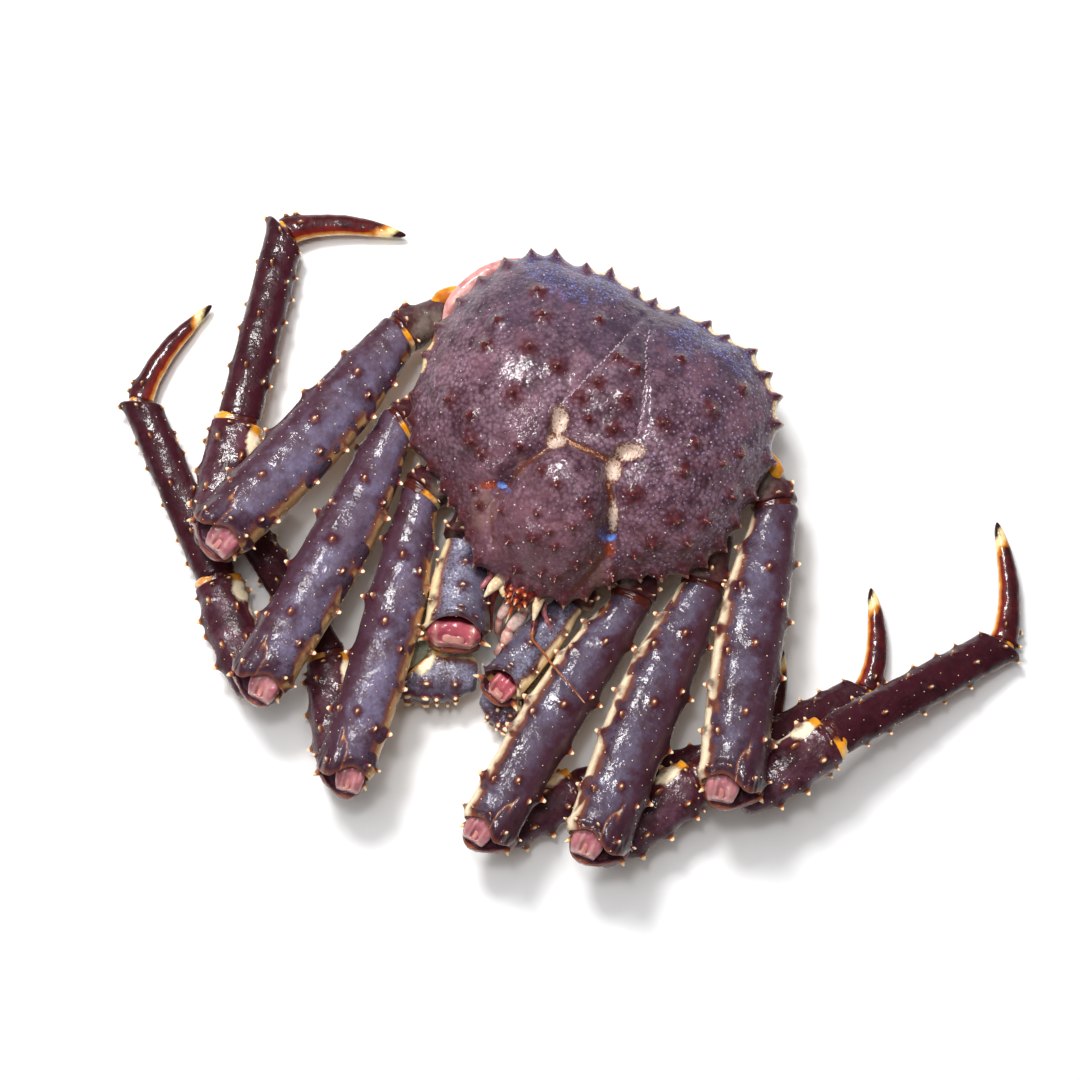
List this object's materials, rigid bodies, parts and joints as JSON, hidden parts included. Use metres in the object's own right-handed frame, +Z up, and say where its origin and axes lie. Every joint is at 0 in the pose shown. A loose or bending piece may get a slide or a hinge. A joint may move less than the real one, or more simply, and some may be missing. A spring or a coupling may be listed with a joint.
{
  "type": "whole king crab",
  "caption": "Whole raw king crab lying on its belly, spiny domed carapace, walking legs and claws folded forwards and back under at the knee.",
  "frame": {"origin": "middle of the flat belly, on the table under the carapace's centre", "axes": "+X to the crab's own left, -Y to its front, +Z up out of the table"},
  "size_m": [0.5196, 0.3249, 0.0977],
  "materials": {
    "carapace_shell": "wet satin",
    "belly_shell": "satin",
    "upper_leg_shell": "wet gloss",
    "lower_leg_shell": "wet gloss",
    "palm_shell": "wet gloss",
    "leg_flesh": "wet",
    "mouth_shell": "wet gloss",
    "feeler_shell": "wet gloss"
  },
  "bodies": {
    "root": {"abdomen": "belly_shell", "antenna_left": "feeler_shell", "antenna_right": "feeler_shell", "body": "belly_shell", "carapace": "carapace_shell", "claw_left_carpus": "lower_leg_shell", "claw_left_finger": "lower_leg_shell", "claw_left_flesh": "leg_flesh", "claw_left_ischium": "upper_leg_shell", "claw_left_merus": "upper_leg_shell", "claw_left_palm": "palm_shell", "claw_right_carpus": "lower_leg_shell", "claw_right_finger": "lower_leg_shell", "claw_right_flesh": "leg_flesh", "claw_right_ischium": "upper_leg_shell", "claw_right_merus": "upper_leg_shell", "claw_right_palm": "palm_shell", "leg_left_front_carpus": "lower_leg_shell", "leg_left_front_dactyl": "lower_leg_shell", "leg_left_front_flesh": "leg_flesh", "leg_left_front_ischium": "upper_leg_shell", "leg_left_front_merus": "upper_leg_shell", "leg_left_front_propodus": "lower_leg_shell", "leg_left_middle_carpus": "lower_leg_shell", "leg_left_middle_dactyl": "lower_leg_shell", "leg_left_middle_flesh": "leg_flesh", "leg_left_middle_ischium": "upper_leg_shell", "leg_left_middle_merus": "upper_leg_shell", "leg_left_middle_propodus": "lower_leg_shell", "leg_left_rear_carpus": "lower_leg_shell", "leg_left_rear_dactyl": "lower_leg_shell", "leg_left_rear_flesh": "leg_flesh", "leg_left_rear_ischium": "upper_leg_shell", "leg_left_rear_merus": "upper_leg_shell", "leg_left_rear_propodus": "lower_leg_shell", "leg_right_front_carpus": "lower_leg_shell", "leg_right_front_dactyl": "lower_leg_shell", "leg_right_front_flesh": "leg_flesh", "leg_right_front_ischium": "upper_leg_shell", "leg_right_front_merus": "upper_leg_shell", "leg_right_front_propodus": "lower_leg_shell", "leg_right_middle_carpus": "lower_leg_shell", "leg_right_middle_dactyl": "lower_leg_shell", "leg_right_middle_flesh": "leg_flesh", "leg_right_middle_ischium": "upper_leg_shell", "leg_right_middle_merus": "upper_leg_shell", "leg_right_middle_propodus": "lower_leg_shell", "leg_right_rear_carpus": "lower_leg_shell", "leg_right_rear_dactyl": "lower_leg_shell", "leg_right_rear_flesh": "leg_flesh", "leg_right_rear_ischium": "upper_leg_shell", "leg_right_rear_merus": "upper_leg_shell", "leg_right_rear_propodus": "lower_leg_shell", "maxilliped_left": "mouth_shell", "maxilliped_right": "mouth_shell", "scale_left": "feeler_shell", "scale_right": "feeler_shell"}
  },
  "joints": []
}
